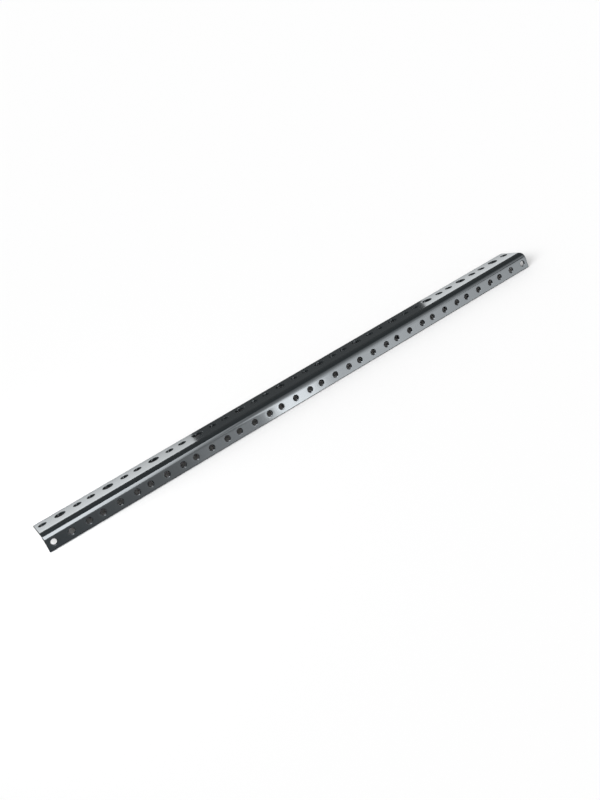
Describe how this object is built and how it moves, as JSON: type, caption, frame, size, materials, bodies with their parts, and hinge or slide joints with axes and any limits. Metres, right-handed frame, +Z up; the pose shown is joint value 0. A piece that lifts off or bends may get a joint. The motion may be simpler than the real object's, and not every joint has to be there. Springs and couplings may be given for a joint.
{
  "type": "rack mounting rail",
  "caption": "L-section steel rack mounting rail in glossy black coating, with the standard rack hole grid along both legs, lying on its free edges.",
  "frame": {"origin": "on the floor, under the centre of the rail's bounding box", "axes": "+X along the rail, +Y towards the wide leg's free edge, +Z up; the rail lies on the free edges of its legs with its fold upward"},
  "size_m": [0.5334, 0.0382, 0.0134],
  "materials": {
    "black_coating": "glossy"
  },
  "bodies": {
    "root": {"mounting_rail": "black_coating"}
  },
  "joints": []
}
